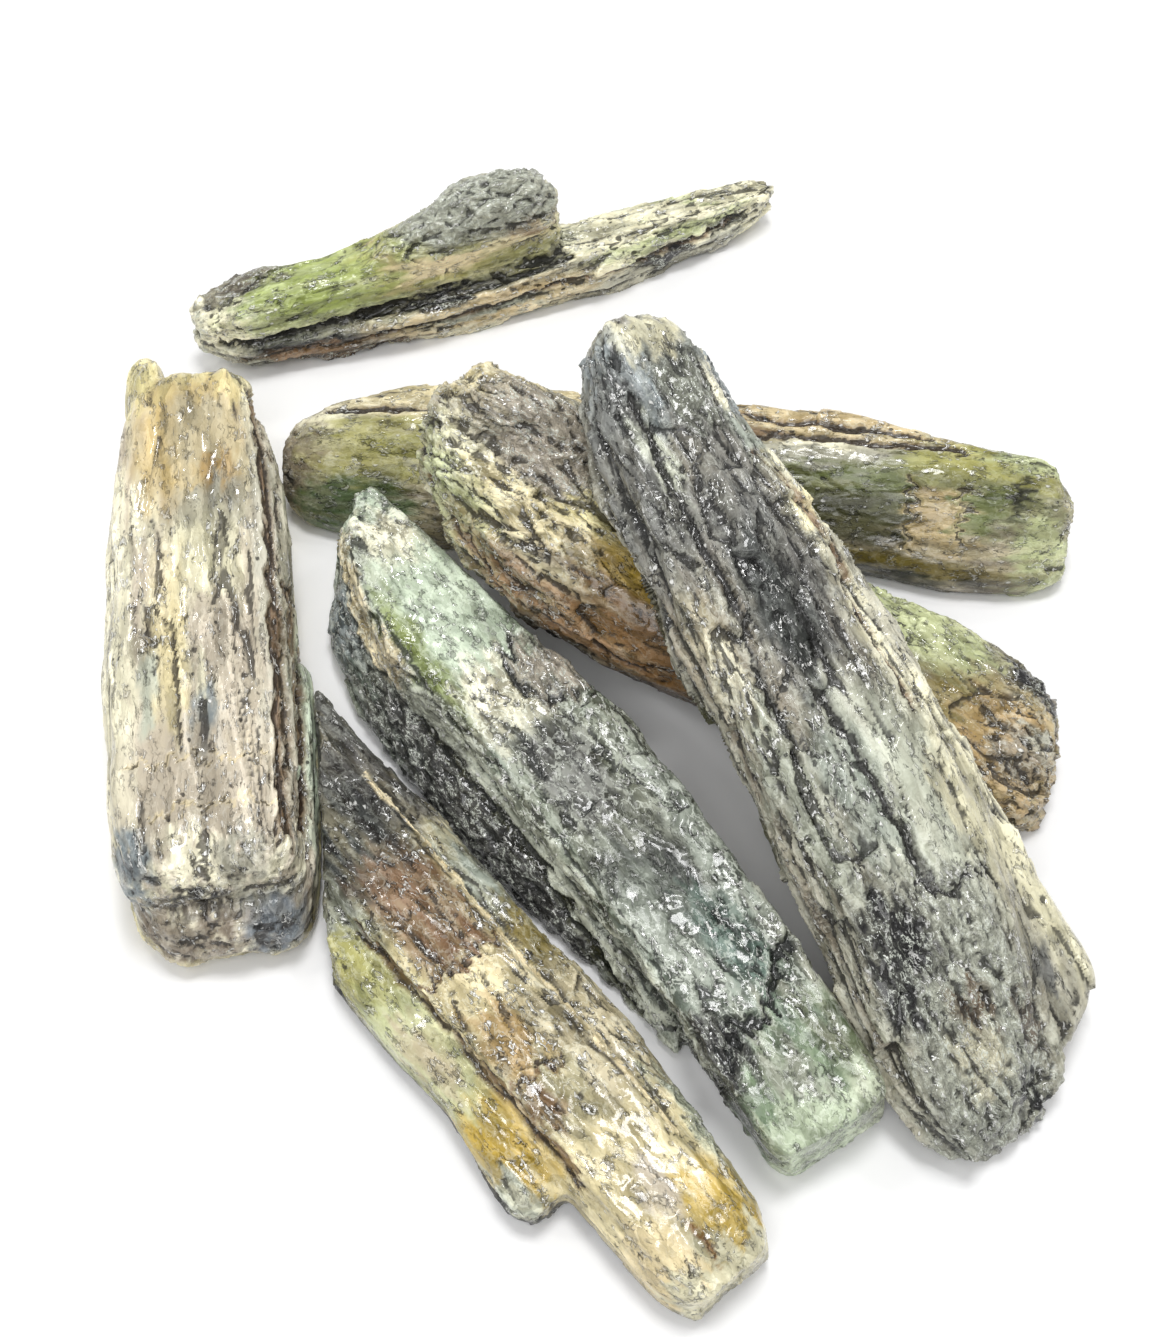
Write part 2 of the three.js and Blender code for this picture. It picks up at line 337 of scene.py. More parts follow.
STONES["tan_slab"] = {
    "ground": ("mauve", "ivory", 0.55),
    "skin": {"long": 2.6, "swell": 0.3, "step": 0.3, "chunk": 0.25,
             "fibre": 0.16, "flake": 0.05, "pit": 0.15},
    "patches": [
        ("ash", (8, 60), (5.5, 9.5)),
        ("mint", (36, 62), (8.2, 10)),
        ("pale_yellow", (0, 5), (-9, -3)),
        ("pale_yellow", (4, 10), (-8, 6)),
        ("honey", (6, 24), (-5.5, 5)),
        ("oat", (9, 20), (-2, 4.2)),
        ("tan", (17, 23), (1, 4.4)),
        ("ash", (21, 27), (-2, 5)),
        ("bone", (25, 37), (-3, 4.2)),
        ("ivory", (26, 60), (-9.5, -6)),
        ("straw", (30, 50), (-4.5, -1)),
        ("mauve", (34, 41), (-0.5, 3.5)),
        ("mauve", (38, 55), (1.5, 6)),
        ("blue_grey", (47, 53), (-0.8, 1.8)),
        ("silver", (41, 50), (-5.4, -3.8)),
        ("cream", (52, 55.5), (2.6, 5.4)),
        ("mauve", (50, 62), (-7, 7)),
        ("blue_grey", (60, 65), (-9.5, -5), (5, 20)),
        ("ash", (61.5, 66), (0.5, 5), (5, 20)),
        ("ivory", (61, 65), (-3, 0.5), (7, 20)),
        ("soot", (64.4, 67), (-4.4, 1.6), (6.4, 9.4)),
        ("grey_brown", (64, 69), ANY, (0, 7)),
        ("slate", (63, 70), (2.2, 7), (2, 8)),
        ("taupe", (65, 70), (-6, -1), (4, 6.6)),
        ("pale_yellow", (5, 66), ANY, (-1, 2.5)),
    ],
    "mica": [],
    "calm": [((3, 26), (-8, 5)), ((44, 58), (-9, -2))],
    "cracks": [
        ("brown", 0.45, 0.7, "top", [(6, 6.6), (24, 7.3), (44, 7.2), (62, 6.6)]),
        ("brown", 0.35, 0.5, "top", [(33, 8.4), (46, 8.5), (60, 7.8)]),
        ("cream", 0.2, 0.15, "top", [(53.4, -7), (53, -1), (53.8, 6)]),
        ("cream", 0.2, 0.15, "top", [(58.6, -5), (58, 0), (58.4, 6.6)]),
        ("brown", 0.4, 0.6, "side", [(1, 5), (20, 5.4), (45, 6), (62, 6.6)]),
    ],
}
announce("tan_slab")

# %% Stepped brown blade
STONES["stepped_brown_blade"] = {
    "ground": ("khaki", "straw", 0.5),
    "skin": {"long": 1.2, "swell": 0.25, "step": 0.16, "chunk": 0.3,
             "fibre": 0.06, "flake": 0.1, "pit": 0.12},
    "patches": [
        ("iron_grey", (0, 13), ANY),
        ("dark_grey", (8, 20), (1, 9.5)),
        ("char", (11, 25), (-6, 4.5)),
        ("soot", (13, 17), (3.6, 5.2)),
        ("brown", (21, 36), (-2.5, 4.4)),
        ("pewter", (22, 33), (5, 9.5)),
        ("drab", (30, 40), (5, 9.5)),
        ("oat", (38, 52), (5, 9.5)),
        ("lichen", (19, 28), (-7, -3.2)),
        ("olive", (24, 31), (-10, -4)),
        ("pale_green", (30, 45), (-10, -4)),
        ("oat", (33, 42), (-8, -5)),
        ("straw", (33.5, 38.5), (-4, 3.5)),
        ("tan", (38, 45), (-3.2, 1.4)),
        ("oat", (38, 52), (1.4, 5)),
        ("amber", (43.5, 52), (-8.5, -4.2)),
        ("silver", (49.5, 54), (-10, -6.8)),
        ("khaki", (45, 52), (-1.2, 2)),
        ("umber", (45.5, 50), (-3.6, -1)),
        ("straw", (52, 61), (-4.5, 4.2)),
        ("mauve", (56, 61.5), (-1, 1.4)),
        ("cream", (60, 66.5), (-5.5, -0.5)),
        ("amber", (60, 65.5), (1, 6)),
        ("rust", (62.4, 66), (0, 0.9)),
        ("bone", (65, 69), ANY),
        ("soot", (0, 69), ANY, (-1, 2.2)),
    ],
    "mica": [("mint", (51, 60.5), (6.4, 9.5), (3, 20))],
    "calm": [((50, 69), (-6, 6)), ((27, 48), (-10, -4))],
    "cracks": [
        ("cream", 0.3, -0.25, "top", [(12, 5.4), (30, 4.9), (46, 5.0), (56, 4.8)]),
        ("brown", 0.3, 0.35, "top", [(24, -4.2), (40, -4), (54, -3.9)]),
        ("brown", 0.3, 0.2, "top", [(33, -3.8), (33.8, 0), (33.2, 4.6)]),
        ("brown", 0.25, 0.2, "top", [(45, -3.4), (45.2, 1.2)]),
    ],
}
announce("stepped_brown_blade")

# %% Centre green blade
STONES["centre_green_blade"] = {
    "ground": ("grey_green", "lichen", 0.5),
    "skin": {"long": 1.0, "swell": 0.3, "step": 0.14, "chunk": 0.35,
             "fibre": 0.05, "flake": 0.1, "pit": 0.12},
    "patches": [
        ("mint", (0, 8), (-2, 3.5)),
        ("ivory", (4, 13), (-2.5, 3.5)),
        ("silver", (3, 15), (-6.5, -2)),
        ("mint", (11, 27), (-5, 7)),
        ("leaf_green", (13, 29), (-5.6, -2.8)),
        ("ivory", (26, 35), (-3.5, 3)),
        ("lichen", (33, 52), (-4, 9.5)),
        ("iron_grey", (35, 46), (-2, 4)),
        ("char", (48, 61), (-2.5, 6)),
        ("pewter", (40, 64), (5.5, 9.5)),
        ("pewter", (51, 66), (-3.6, 2)),
        ("teal", (56, 65), (1.5, 6)),
        ("jade", (69, 80), (-4.6, 9.5)),
        ("deep_green", (69.5, 75.5), (4.5, 8)),
        ("lichen", (70, 76), (-1.5, 3)),
        ("celadon", (75.6, 80), ANY),
        ("blue_grey", (0, 15), (-9.6, -4.8)),
        ("soot", (30, 68), (-10, -4.6)),
        ("soot", (45, 79), (-7, -3.4), (2, 7.5)),
        ("ash", (20, 79), (4, 10), (1, 8)),
        ("black_olive", (62, 70), (-7, -4), (0, 6)),
    ],
    "mica": [
        ("mauve", (25.6, 32), (2.2, 8)),
        ("iron_grey", (17, 62), (-10, -5.4)),
        ("iron_grey", (65, 71.5), (-4.4, -0.6)),
    ],
    "calm": [((68, 82), (-6, 10)), ((9, 26), (-5, 6)), ((46, 58), (-2, 6))],
    "cracks": [
        ("soot", 0.5, 0.6, "top", [(63, 7.6), (66, 4.5), (68, 1.6), (66.4, -0.8), (69.5, -3)]),
        ("dark_grey", 0.4, 0.35, "top", [(25, 4), (27, 1.8), (30.5, 2), (32.6, 4.8)]),
        ("cream", 0.5, -0.35, "top", [(2, -2), (8, -4.4), (15, -6), (22, -6)]),
        ("silver", 0.4, -0.3, "top", [(22, -6), (32, -5), (45, -4.2), (60, -4), (68, -4.2)]),
        ("black_olive", 0.4, 0.4, "top", [(24, -6.6), (34, -5.8), (46, -5), (60, -4.7)]),
    ],
}
announce("centre_green_blade")

# %% Long leaning blade
STONES["long_leaning_blade"] = {
    "ground": ("taupe", "ash", 0.45),
    "skin": {"long": 1.5, "swell": 0.35, "step": 0.42, "chunk": 0.9,
             "fibre": 0.2, "flake": 0.15, "pit": 0.3},
    "patches": [
        ("blue_grey", (0, 12), ANY),
        ("bone", (0, 5), (-4, 3)),
        ("iron_grey", (4, 26), (-11, -4.5)),
        ("dark_grey", (5, 16), (-2.5, 3)),
        ("ivory", (6, 14), (2.8, 4.6)),
        ("pewter", (12, 18), (2.2, 6)),
        ("iron_grey", (15, 40), (-5, 3)),
        ("silver", (10, 18), (-6.4, -4.2)),
        ("bone", (17, 26), (4, 8)),
        ("pale_yellow", (21, 25), (4.4, 6.4)),
        ("dark_grey", (24, 32), (1, 6)),
        ("char", (24, 36), (-4.6, 0.5)),
        ("char", (26, 33.5), (-4, -0.6)),
        ("char", (33, 41), (-3.4, -0.8)),
        ("bone", (26, 62), (4, 11)),
        ("ash", (24, 40), (6.4, 9)),
        ("silver", (40, 60), (-3.4, 4.5)),
        ("pewter", (42, 55), (-6, -1)),
        ("bone", (49, 56), (3, 6)),
        ("oat", (29, 43), (-9.6, -7.4)),
        ("ivory", (31, 36), (-9.2, -7.8)),
        ("lichen", (36, 58), (-9.8, -6.4)),
        ("ash", (60, 73), (5, 11)),
        ("bone", (52, 70), (7.4, 12)),
        ("iron_grey", (65.6, 69.5), (4.6, 7.2)),
        ("soot", (73, 80), (-9.8, -2)),
        ("ash", (6, 70), (-12, -6), (-1, 5)),
        ("black_olive", (10, 60), (-12, -5), (-1, 2)),
    ],
    "mica": [
        ("lichen", (5.5, 13), (-2.2, 2.6)),
        ("silver", (57, 80), (-9.4, 3.4)),
        ("soot", (56.5, 64.5), (-8.6, -3.4)),
        ("char", (61, 68), (-9.6, -6.8)),
        ("umber", (66, 69.4), (-4.2, -1)),
        ("bone", (69, 75), (-6, -2)),
        ("grey_brown", (69.4, 73), (1, 3.4)),
        ("char", (75, 78), (-1.6, 1.6)),
    ],
    "calm": [((38, 60), (-1, 5)), ((46, 78), (3.8, 12)), ((0, 6), (-5, 4))],
    "cracks": [
        ("dark_grey", 0.35, 0.35, "top", [(40, -2.2), (50, -1.6), (58.5, -1.2)]),
        ("dark_grey", 0.3, 0.3, "top", [(57.6, -3), (59, 0), (57.8, 3), (59.6, 5)]),
        ("dark_grey", 0.4, 0.5, "top", [(8, -5.2), (18, -5.6), (30, -6), (44, -6.8)]),
        ("brown", 0.35, 0.4, "top", [(17, 3.6), (26, 6), (36, 5.2), (44, 4.6)]),
        ("soot", 0.45, 0.5, "side", [(6, 4.4), (30, 4), (56, 4.4)]),
    ],
}
announce("long_leaning_blade")

# %% Propped brown blade
STONES["propped_brown_blade"] = {
    "ground": ("taupe", "khaki", 0.5),
    "skin": {"long": 1.0, "swell": 0.45, "step": 0.3, "chunk": 0.9,
             "fibre": 0.1, "flake": 0.2, "pit": 0.35},
    "patches": [
        ("straw", (0, 7), (-1, 5)),
        ("bone", (1, 11), (-7, -2.6)),
        ("straw", (5, 14), (-10, -5)),
        ("pale_green", (0, 12), (-12, -2), (5, 13)),
        ("straw", (12, 23), (-9.4, -3.6)),
        ("pale_yellow", (15, 27), (-5.5, -0.5)),
        ("umber", (20, 40), (-12, -5)),
        ("amber", (22, 36), (-8, -2)),
        ("rust", (8, 34), (-12, -6), (5, 11)),
        ("leaf_green", (38, 50), (3, 12)),
        ("pale_green", (41, 48), (5, 9)),
        ("pale_green", (46, 57), (3, 10)),
        ("drab", (52, 61), (-3, 4.6)),
        ("tan", (57, 68), (-4, 6)),
        ("taupe", (61, 67), (-2, 3)),
        ("ash", (63.6, 66.6), (2, 5)),
        ("soot", (8, 40), ANY, (-3, 5)),
        ("soot", (12, 30), (-12, -5), (0, 3.6)),
    ],
    "mica": [
        ("mauve", (4.4, 15.5), (-3.6, 3.4), (9, 22)),
        ("mauve", (8, 16.5), (-4.4, -1), (8, 22)),
        ("soot", (58.6, 64), (6.6, 10)),
    ],
    "calm": [((20, 40), (-12, -4)), ((44, 60), (-3, 10))],
    "cracks": [
        ("brown", 0.5, 0.5, "side", [(2, 7), (14, 6.4), (30, 7)]),
    ],
}
announce("propped_brown_blade")

# %% Back olive blade
STONES["back_olive_blade"] = {
    "ground": ("taupe", "oat", 0.4),
    "skin": {"long": 1.6, "swell": 0.3, "step": 0.2, "chunk": 0.4,
             "fibre": 0.1, "flake": 0.1, "pit": 0.12},
    "patches": [
        ("straw", (3, 70), (2.2, 9), (8.4, 20)),
        ("sand", (30, 68), (3.4, 9), (8.4, 20)),
        ("ivory", (1.5, 9), (-1, 3.6)),
        ("grey_brown", (0, 4), (-4, 1.5)),
        ("deep_green", (2, 14), (-8, -3)),
        ("olive", (4, 20), (-3.5, 2)),
        ("moss", (47, 80), (-4, 2.4)),
        ("ash", (48, 63), (0, 3)),
        ("ivory", (50, 60), (1.8, 3.2)),
        ("black_olive", (46, 66), (-5.6, -1.6)),
        ("sand", (65, 70.5), (-6, -1.4)),
        ("moss", (69.5, 74), (-5, -1.8)),
        ("olive", (65, 81), (-1, 4.2)),
        ("pale_green", (73, 82), (1.2, 4.4)),
        ("bog_green", (74.8, 76.6), (-4, 1)),
        ("pale_green", (75.6, 83), (-8, -3.4)),
        ("bog_green", (46, 76), (-8, -4.6), (-1, 4)),
        ("drab", (20, 78), (-8, -5), (2.8, 4.4)),
    ],
    "mica": [],
    "calm": [((0, 22), (-8, 3)), ((54, 80), (-9, 3))],
    "cracks": [
        ("cream", 0.35, 0.3, "top", [(64.8, -6), (65.2, -3), (65, -0.8)]),
        ("cream", 0.3, 0.25, "top", [(70, -5.6), (70.2, -1.6)]),
        ("brown", 0.4, 0.5, "top", [(4, 3), (20, 3.2), (44, 3.3), (70, 3)]),
        ("brown", 0.3, 0.4, "top", [(20, 4.6), (44, 4.8), (66, 4.4)]),
    ],
}
announce("back_olive_blade")

# %% Twin blade
STONES["twin_mica_blade"] = {
    "ground": ("silver", "ivory", 0.5),
    "skin": {"long": 1.5, "swell": 0.25, "step": 0.3, "chunk": 0.5,
             "fibre": 0.2, "flake": 0.13, "pit": 0.2},
    "patches": [
        ("ivory", (0, 4.5), ANY, (4, 20)),
        ("bright_green", (4, 24), ANY, (5.6, 20)),
        ("olive", (20, 43), ANY, (6.4, 12.6)),
        ("cream", (22, 32), ANY, (8, 11)),
        ("straw", (32, 42), ANY, (9, 12.4)),
        ("rust", (35, 41), ANY, (11, 13)),
        ("soot", (3, 22), ANY, (-1, 5)),
        ("umber", (6, 18), ANY, (1.6, 3.2)),
        ("sand", (20, 47), ANY, (1, 5.4)),
        ("lichen", (24, 40), ANY, (2, 3.6)),
        ("bone", (44, 68), ANY, (3, 8)),
        ("pale_green", (46, 66), ANY, (4.6, 6.2)),
        ("ash", (44, 66), ANY, (-1, 3)),
        ("bone", (64.5, 70), ANY),
    ],
    "mica": [
        ("taupe", (1.6, 10), (0.2, 4), (6, 20)),
        ("silver", (22, 43), (-6, 3), (12, 20)),
        ("soot", (24, 29), ANY, (4.8, 6.4)),
        ("soot", (52, 57), ANY, (2, 3.8)),
        ("black_olive", (60, 64), ANY, (3.4, 4.8)),
        ("umber", (8, 24), ANY, (0, 1.6)),
    ],
    "calm": [((8, 38), ANY, (6, 11))],
    "cracks": [
        ("soot", 0.6, 0.8, "side", [(3, 5), (14, 5.4), (26, 5.8), (42, 6.4)]),
        ("brown", 0.35, 0.4, "side", [(4, 2.8), (24, 3), (44, 3.8), (62, 4)]),
    ],
}
announce("twin_mica_blade")

# %% [markdown]
# ## Laying on the colours
#
# A real patch ends along splinters and not along a smooth line. The points are first shaken
# lengthwise and a little across by fine noise, and then a plain rounded box around the patch gives
# it a ragged rim by itself.

# %% Patches
SHAKE = np.array([2.4, 0.75, 0.7])
PATCH_RIM, CALM_RIM, MICA_RIM = 0.4, 0.3, 0.15
CRACK_COVER = 0.85


def shaken(points):
    """The blade's points, moved about by stretched noise."""
    grain = points / (3.2, 0.9, 0.9)
    moves = [fractal(grain, 4, seed) for seed in (51, 61, 71)]
    return points + np.stack(moves, axis=1) * SHAKE


def inside(points, rim, along, across, up=ANY):
    """1 inside a patch with ragged rims, 0 outside it."""
    reach = np.array([along, across, up], float)
    middle = reach.mean(axis=1)
    half = (reach[:, 1] - reach[:, 0]) / 2
    away = (np.abs((points - middle) / half) ** 4).sum(axis=1) ** 0.25
    return 1 - ramp(away, 1 - rim, 1 + rim)


def anywhere(points, rim, boxes):
    """1 inside any of the boxes, 0 outside them all."""
    return np.max([np.zeros(len(points))] + [inside(points, rim, *box) for box in boxes], axis=0)


def near_line(points, side, line):
    """The distance of each point from a line drawn on the top or on the side of the blade."""
    seen = points[:, [0, 1]] if side == "top" else points[:, [0, 2]]
    best = np.full(len(points), 99.0)
    for start, end in zip(line[:-1], line[1:]):
        start, run = np.array(start), np.subtract(end, start)
        share = np.clip((seen - start) @ run / (run @ run), 0, 1)
        best = np.minimum(best, np.linalg.norm(seen - start - share[:, None] * run, axis=1))
    return best


def coloured(points, stone):
    """The stone's colour, its shares of mica and calm, and the depth of its cracks."""
    loose = shaken(points)
    first, second, share = stone["ground"]
    streak = ramp(fractal(points / (11, 1.4, 1.2), 4, 5), share - 1, share)
    tint = linear(first) + (linear(second) - linear(first)) * streak[:, None]
    thin = 0.8 + 0.2 * ramp(fractal(points / (6, 1.0, 1.0), 3, 81), -0.35, 0.25)
    for colour, *box in stone["patches"] + stone["mica"]:
        cover = (inside(loose, PATCH_RIM, *box) * thin)[:, None]
        tint = tint + (linear(colour) - tint) * cover
    mica = anywhere(loose, MICA_RIM, [box for _, *box in stone["mica"]])
    calm = anywhere(loose, CALM_RIM, stone["calm"]) * (1 - mica)
    depth = np.zeros(len(points))
    wavy = points + (loose - points) * (0.5, 0.6, 0.6)
    for colour, width, deep, side, line in stone["cracks"]:
        cover = 1 - ramp(near_line(wavy, side, line), 0.4 * width, 1.5 * width)
        depth = depth + cover * deep
        tint = tint + (linear(colour) - tint) * cover[:, None] * CRACK_COVER
    return tint, mica, calm, depth


print("noise moves a patch's rim by about", SHAKE, "mm along, across and up")


# %% [markdown]
# ## Growing the skin
#
# The CAD solid has flat sides and sharp corners. A voxel remesh covers it with small even squares,
# which can be moved freely. Then the skin is worn back where chips have gone, and lifted or sunk
# along its normals: broad swells, cleavage steps, big tilted chunks and small flakes, lengthwise
# fibres, pits, and crumpled mica. Where a stone is calm, most of that is held back. The whole skin
# sits a little inwards, so the stone stays the size that the CAD model says.

# %% A fine skin over the solid
SQUARES = 67000
WELD = 0.01 * MM


def skinned(name):
    """A new object: the CAD solid welded, covered with even squares and softly rounded."""
    shape = bmesh.new()
    shape.from_mesh(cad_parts[name].data)
    bmesh.ops.remove_doubles(shape, verts=shape.verts, dist=WELD)
    area = sum(face.calc_area() for face in shape.faces)
    mesh = bpy.data.meshes.new(name + "_solid")
    shape.to_mesh(mesh)
    shape.free()
    piece = bpy.data.objects.new(name + "_stone", mesh)
    bpy.context.collection.objects.link(piece)
    squares = piece.modifiers.new("even squares", "REMESH")
    squares.mode = "VOXEL"
    squares.voxel_size = math.sqrt(area / SQUARES)
    rounding = piece.modifiers.new("rounding", "SMOOTH")
    rounding.iterations = 3
    bpy.context.view_layer.update()
    ready = piece.evaluated_get(bpy.context.evaluated_depsgraph_get())
    piece.data = bpy.data.meshes.new_from_object(ready)
    piece.modifiers.clear()
    bpy.data.meshes.remove(mesh)
    return piece


def softened(edges, values, rounds):
    """Values averaged with their neighbours along the mesh's edges, again and again."""
    ends = np.concatenate([edges, edges[:, ::-1]])
    count = np.bincount(ends[:, 0], minlength=len(values))
    for _ in range(rounds):
        sums = [np.bincount(ends[:, 0], column[ends[:, 1]], len(values)) for column in values.T]
        values = (values + np.stack(sums, axis=1) / count[:, None]) / 2
    return values


print("each stone is covered with about", SQUARES, "squares")


# %% The shape of broken kyanite
def steps(values, sharpness=0.2):
    """Turns a slope into flat treads with steep risers between them."""
    tread = np.floor(values)
    return tread + ramp(values - tread, 0.5 - sharpness / 2, 0.5 + sharpness / 2)


def tilted(points, seed):
    """Flat flakes, each leaning its own way, from about -0.5 to 0.5."""
    _, number, way = shards(points, seed)
    return np.einsum("ij,ij->i", way, SLOPES[number]) + (LUCK[number] - 0.5) * 0.5


def relief(points, skin, mica, calm):
    """How far the skin is lifted at each point, in millimetres. Below zero is inwards."""
    long = np.array([skin["long"], 1, 1])
    swell = fractal(points / 13, 2, 1) * skin["swell"]
    layers = fractal(points / long / (12, 4.5, 2.4), 2, 9) * 4
    stepped = (steps(layers) / 4) * skin["step"] * 2
    ridge = 0.5 - np.abs(ripple(points / long / (5, 1.3, 1.1), 17))
    splinter = tilted(points / long / (3.4, 1.6, 1.4), 23) * skin["flake"] * 1.8
    flake = tilted(points / long / (1.5, 1.0, 1.0), 29) * skin["flake"]
    away, number, _ = shards(points / 1.5, 31)
    pit = (1 - ramp(away, 0.1, 0.34)) * (LUCK[number] < 0.22) * skin["pit"]
    chunk = tilted(points / long / (6, 3.2, 3), 47) * skin["chunk"]
    plain = stepped + chunk + ridge * skin["fibre"] + splinter + flake - pit
    crumple = (0.4 - np.abs(fractal(points / (3.4, 2.2, 2.2), 3, 37))) * 0.4
    leaves = tilted(points / (2.6, 1.2, 1.0), 41) * 0.4
    return swell + plain * (1 - mica * 0.4) * (1 - calm * 0.6) + (crumple + leaves) * mica


print("an even slope of five points as steps:", steps(np.linspace(0, 1, 5)).round(2))


# %% Make one stone
INWARD = 0.12
WEAR_ROUNDS = 40
HOLLOW_ROUNDS = 36
HOLLOW_GAIN = 2.6


def read(items, field, kind=float, width=3):
    """One field of many mesh elements, as rows of numbers."""
    flat = np.empty(len(items) * width, kind)
    items.foreach_get(field, flat)
    return flat.reshape(-1, width)


def carved(name):
    """The finished mesh of one stone, with its colour, mica, calm and hollows as attributes."""
    stone = STONES[name]
    piece = skinned(name)
    mesh = piece.data
    turn, zero, _ = blade_frame(name)
    room = read(mesh.vertices, "co") / MM
    edges = read(mesh.edges, "vertices", int, 2)

    worn = softened(edges, room, WEAR_ROUNDS)
    chips = ramp(fractal((room - zero) @ turn / (5, 2.6, 2.6), 3, 3), -0.2, 0.45)[:, None]
    room = room + (worn - room) * (0.15 + 0.85 * chips)
    mesh.vertices.foreach_set("co", (room * MM).ravel())
    mesh.update()

    own = (room - zero) @ turn
    tint, mica, calm, depth = coloured(own, stone)
    lift = relief(own, stone["skin"], mica, calm) - depth - INWARD
    room = room + read(mesh.vertex_normals, "vector") * lift[:, None]
    room[:, 2] = np.maximum(room[:, 2], 0.0)
    mesh.vertices.foreach_set("co", (room * MM).ravel())

    # How far each point stands above its neighbours (over 0.5) or sinks below them (under 0.5). The
    # shader paints highlight on the crests and shade in the hollows from it.
    hollow = lift - softened(edges, lift[:, None], HOLLOW_ROUNDS)[:, 0]
    hollow = np.clip(0.5 + hollow * HOLLOW_GAIN, 0, 1)
    for label, values in {"mica": mica, "calm": calm, "hollow": hollow}.items():
        kept = mesh.attributes.new(label, "FLOAT", "POINT")
        kept.data.foreach_set("value", values.astype(np.float32))
    kept = mesh.attributes.new("tint", "FLOAT_COLOR", "POINT")
    kept.data.foreach_set("color", np.c_[tint, np.ones(len(tint))].astype(np.float32).ravel())
    mesh.shade_smooth()
    mesh.update()
    print(name, len(room), "points, lifted", round(lift.min(), 2), "to", round(lift.max(), 2))
    return piece


# %% [markdown]
# ## Shader maths as plain maths
#
# A material is a web of nodes, and most of them are sums. Wrapping a socket in a small class lets
# the sums be written as sums, so that `1 - mask` adds the Math node by itself. Everything that
# isn't a sum comes from the one method `node`.

# %% Shader wires
class Wire:
    """One output of one node."""

    def __init__(self, tree, socket=None):
        self.tree = tree
        self.socket = socket

    def node(self, kind, settings, inputs, output=0):
        """A new node: its settings first, then the values or wires of its sockets."""
        made = self.tree.nodes.new(kind)
        for label, value in settings.items():
            setattr(made, label, value)
        for label, value in inputs.items():
            if isinstance(value, Wire):
                self.tree.links.new(value.socket, made.inputs[label])
            else:
                made.inputs[label].default_value = value
        return Wire(self.tree, made.outputs[output])

    def maths(self, operation, first, second=0.0):
        return self.node("ShaderNodeMath", {"operation": operation}, {0: first, 1: second})

    def __add__(self, other):
        return self.maths("ADD", self, other)

    def __sub__(self, other):
        return self.maths("SUBTRACT", self, other)

    def __rsub__(self, other):
        return self.maths("SUBTRACT", other, self)

    def __mul__(self, other):
        return self.maths("MULTIPLY", self, other)

    def __abs__(self):
        return self.maths("ABSOLUTE", self)

    __radd__ = __add__
    __rmul__ = __mul__

    def ramp(self, low, high, start=0.0, end=1.0):
        """A smooth step: start below low, end above high."""
        settings = {"interpolation_type": "SMOOTHSTEP"}
        inputs = {"Value": self, "From Min": low, "From Max": high, "To Min": start, "To Max": end}
        return self.node("ShaderNodeMapRange", settings, inputs)

    def stretched(self, size):
        """Coordinates divided by a size in millimetres."""
        settings = {"operation": "DIVIDE"}
        return self.node("ShaderNodeVectorMath", settings, {0: self, 1: size})

    def moved(self, other):
        return self.node("ShaderNodeVectorMath", {"operation": "ADD"}, {0: self, 1: other})

    def noise(self, detail, roughness, output=0):
        inputs = {"Vector": self, "Scale": 1.0, "Detail": detail, "Roughness": roughness}
        return self.node("ShaderNodeTexNoise", {}, inputs, output)

    def over(self, colour, share, blend="MIX"):
        """This colour with another laid over it."""
        settings = {"data_type": "RGBA", "blend_type": blend}
        return self.node("ShaderNodeMix", settings, {0: share, 6: self, 7: colour}, 2)


print("a wire can", ", ".join(word for word in vars(Wire) if not word.startswith("_")))


# %% [markdown]
# ## The kyanite finish
#
# Under a lens the surface is clear glass and frosted patches, crossed by fibres, thin scratches
# and leaning flakes, with painted glints on top. An image could be painted on, but it would stretch
# on the carved skin, so the patterns are made from the blade's own millimetres. Each row of
# `FINISHES` says how far they are stretched along the grain, how strong the threads, the frosting
# and the strokes (painted glints with their painted shadows) are, how far the flakes lean in
# millimetres, and the colour that the painted shade and the splits take.

# %% Finishes
FINISHES = {
    "tan_slab": (3.0, 0.36, 0.14, 0.7, 0.16, "brown"),
    "stepped_brown_blade": (1.1, 0.1, 0.35, 1.0, 0.16, "umber"),
    "centre_green_blade": (1.0, 0.0, 0.85, 1.0, 0.16, "teal"),
    "long_leaning_blade": (1.4, 0.35, 0.35, 1.0, 0.2, "dark_grey"),
    "propped_brown_blade": (1.0, 0.15, 0.45, 1.0, 0.24, "umber"),
    "back_olive_blade": (1.5, 0.15, 0.35, 0.9, 0.14, "black_olive"),
    "twin_mica_blade": (1.5, 0.35, 0.3, 0.8, 0.2, "black_olive"),
}
print(len(FINISHES), "finishes")


# %% Small patterns
def flakes(place, size):
    """A leaning-flake height and the flake's own random colour."""
    spot = place.stretched(size)
    lucky = spot.node("ShaderNodeTexVoronoi", {}, {"Vector": spot, "Scale": 1.0}, 1)
    middle = Wire(spot.tree, lucky.socket.node.outputs[2])
    apart = spot.node("ShaderNodeVectorMath", {"operation": "SUBTRACT"}, {0: spot, 1: middle})
    lean = spot.node("ShaderNodeVectorMath", {"operation": "SUBTRACT"}, {0: lucky, 1: (0.5,) * 3})
    height = spot.node("ShaderNodeVectorMath", {"operation": "DOT_PRODUCT"}, {0: apart, 1: lean}, 1)
    return height, lucky


def dots(place, size, radius, share):
    """Small dots, one in a cell at most, on a share of the cells."""
    spot = place.stretched(size)
    away = spot.node("ShaderNodeTexVoronoi", {}, {"Vector": spot, "Scale": 1.0}, 0)
    lucky = Wire(spot.tree, away.socket.node.outputs[1])
    red = spot.node("ShaderNodeSeparateColor", {}, {0: lucky})
    return away.ramp(radius, radius * 0.5) * red.ramp(share + 0.02, share)


def line(wave, level, width):
    """A thin line wherever a noise passes a level."""
    return abs(wave - level).ramp(width, width * 0.4)


def rgb(colour):
    return (*linear(colour), 1)


print("frost is", [round(float(part), 2) for part in rgb("frost")], "in light")


